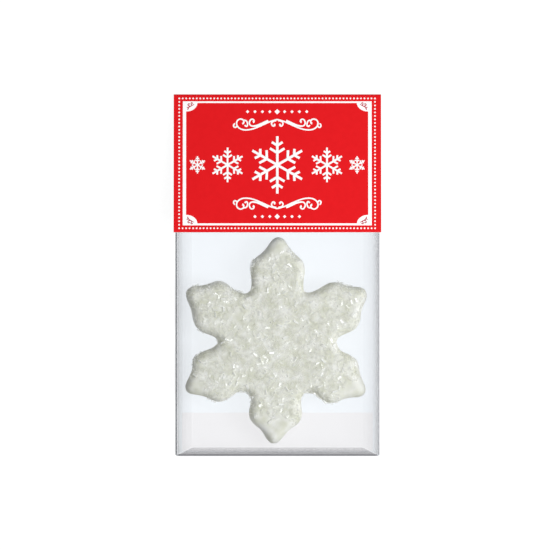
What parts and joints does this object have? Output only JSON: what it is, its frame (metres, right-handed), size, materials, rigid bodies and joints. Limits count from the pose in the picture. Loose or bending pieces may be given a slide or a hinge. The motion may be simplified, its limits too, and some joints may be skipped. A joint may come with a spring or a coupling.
{
  "type": "bagged marshmallow",
  "caption": "Snowflake-shaped marshmallow coated with coarse sugar, lying in a clear box-shaped film bag closed by a folded red header card.",
  "frame": {"origin": "middle of the pack's outline, on the surface that its back lies on", "axes": "+X to the right of the pack, +Y up the pack towards the header card's fold, +Z out of its front"},
  "size_m": [0.0778, 0.1357, 0.0141],
  "materials": {
    "clear_film": "glossy clear polypropylene film with a faint haze",
    "red_card": "smooth coated card, printed red, satin",
    "sugared_marshmallow": "soft matte whipped sugar, off-white, under sparkling coarse crystals"
  },
  "bodies": {
    "root": {"clear_bag": "clear_film", "header_card": "red_card", "marshmallow": "sugared_marshmallow"}
  },
  "joints": []
}
